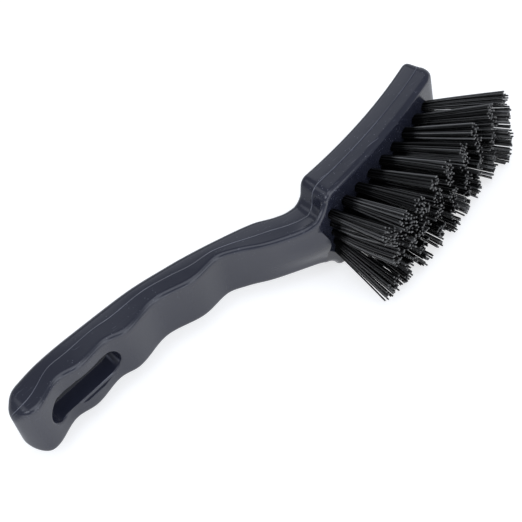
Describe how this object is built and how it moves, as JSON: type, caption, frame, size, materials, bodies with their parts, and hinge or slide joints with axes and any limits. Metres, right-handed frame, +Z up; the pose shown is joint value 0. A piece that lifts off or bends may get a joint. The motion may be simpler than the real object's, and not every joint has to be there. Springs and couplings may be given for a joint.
{
  "type": "scrub brush",
  "caption": "Curved-handled scrub brush with finger grooves and a hang slot, whose arched head carries a fan of long straight bristle tufts.",
  "frame": {"origin": "bottom centre of the bounding box, with the brush lying on its side", "axes": "+X from the tail of the handle to the tip of the head, +Y from the bristle side to the back, +Z up through the width"},
  "size_m": [0.2026, 0.0578, 0.0374],
  "materials": {
    "body": "moulded, satin",
    "bristle": "drawn filament, satin"
  },
  "bodies": {
    "root": {"handle_body": "body", "tuft_row1_col1": "bristle", "tuft_row2_col1": "bristle", "tuft_row3_col1": "bristle", "tuft_row4_col1": "bristle", "tuft_row5_col1": "bristle", "tuft_row1_col2": "bristle", "tuft_row2_col2": "bristle", "tuft_row3_col2": "bristle", "tuft_row4_col2": "bristle", "tuft_row5_col2": "bristle", "tuft_row1_col3": "bristle", "tuft_row2_col3": "bristle", "tuft_row3_col3": "bristle", "tuft_row4_col3": "bristle", "tuft_row5_col3": "bristle", "tuft_row1_col4": "bristle", "tuft_row2_col4": "bristle", "tuft_row3_col4": "bristle", "tuft_row4_col4": "bristle", "tuft_row5_col4": "bristle", "tuft_row1_col5": "bristle", "tuft_row2_col5": "bristle", "tuft_row3_col5": "bristle", "tuft_row4_col5": "bristle", "tuft_row5_col5": "bristle", "tuft_row1_col6": "bristle", "tuft_row2_col6": "bristle", "tuft_row3_col6": "bristle", "tuft_row4_col6": "bristle", "tuft_row5_col6": "bristle", "tuft_row1_col7": "bristle", "tuft_row2_col7": "bristle", "tuft_row3_col7": "bristle", "tuft_row4_col7": "bristle", "tuft_row5_col7": "bristle", "tuft_row1_col8": "bristle", "tuft_row2_col8": "bristle", "tuft_row3_col8": "bristle", "tuft_row4_col8": "bristle", "tuft_row5_col8": "bristle", "tuft_row1_col9": "bristle", "tuft_row2_col9": "bristle", "tuft_row3_col9": "bristle", "tuft_row4_col9": "bristle", "tuft_row5_col9": "bristle"}
  },
  "joints": []
}
